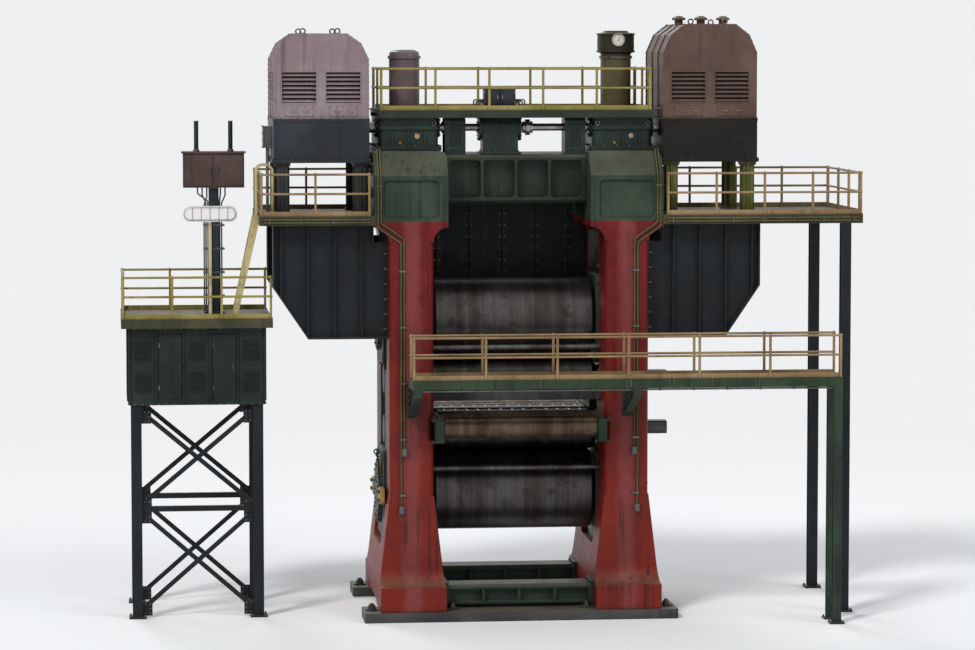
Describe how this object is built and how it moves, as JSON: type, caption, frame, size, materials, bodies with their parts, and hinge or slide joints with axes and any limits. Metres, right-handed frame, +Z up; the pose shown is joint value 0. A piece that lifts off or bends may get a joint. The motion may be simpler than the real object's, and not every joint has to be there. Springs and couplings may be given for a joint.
{
  "type": "four-high plate rolling mill stand",
  "caption": "Four-high plate mill stand: closed cast housings with back-up and work rolls, screwdown drives on top, side walkways, exit bridge and feed rollers.",
  "frame": {"origin": "middle of the stand between the two housings and between entry and exit, at the sole plates' underside; the centre of the outer anchor bolt pattern", "axes": "+X along the rolls towards the driven side (right, seen from the exit side), -Y the exit side that the picture shows, +Z up"},
  "size_m": [19.25, 7.177, 15.6],
  "materials": {
    "housing_red": "worn red gloss paint on cast steel, green on the upper crosshead",
    "frame_green": "dark green machine enamel, oily and dusty",
    "chock_green": "dark green enamel under grease",
    "cast_grey": "dark grey paint on rough castings",
    "bracket_navy": "blue-black paint, oily",
    "base_blue": "blue-grey enamel",
    "cover_grey": "pale mauve-grey enamel on sheet steel",
    "cover_brown": "brown-grey enamel on sheet steel",
    "deck_steel": "olive-grey painted chequer plate, worn",
    "handrail_yellow": "faded yellow paint on tube",
    "roll_steel": "ground roll steel with scale bands",
    "wear_steel": "machined steel with grease",
    "bright_steel": "turned steel, oiled",
    "bronze": "cast bronze"
  },
  "bodies": {
    "root": {"sole_plates": "cast_grey", "housing_left": "housing_red", "housing_right": "housing_red", "window_liners": "wear_steel", "bottom_separators": "frame_green", "crown_separator": "frame_green", "step_plates": "wear_steel", "bottom_backup_roll": "roll_steel", "bottom_work_roll": "roll_steel", "top_work_roll": "roll_steel", "top_backup_roll": "roll_steel", "backup_chocks": "chock_green", "work_chocks": "chock_green", "project_blocks": "cast_grey", "balance_rams": "bright_steel", "keeper_plates": "handrail_yellow", "thrust_capsules": "wear_steel", "screws": "bright_steel", "screw_nuts": "bronze", "screw_gearboxes": "frame_green", "screw_tubes": "cover_grey", "drive_shafts": "bright_steel", "shaft_housings": "frame_green", "motor_brackets": "bracket_navy", "side_walkways": "deck_steel", "walkway_rails": "handrail_yellow", "motor_pedestals": "cast_grey", "motor_bases": "base_blue", "motor_cover_left": "cover_grey", "motor_cover_right": "cover_brown", "crown_deck": "deck_steel", "crown_rails": "handrail_yellow", "exit_bridge": "frame_green", "bridge_supports": "frame_green", "bridge_rails": "handrail_yellow", "platform_columns": "bracket_navy", "side_block": "bracket_navy", "side_platform": "deck_steel", "side_rails": "handrail_yellow", "side_ladder": "handrail_yellow", "cabinet_mast": "base_blue", "lamp_post": "handrail_yellow", "feed_rollers": "roll_steel", "roller_beams": "frame_green", "spray_headers": "wear_steel", "splash_guard": "bracket_navy", "stripper_guides": "cast_grey"}
  },
  "joints": []
}
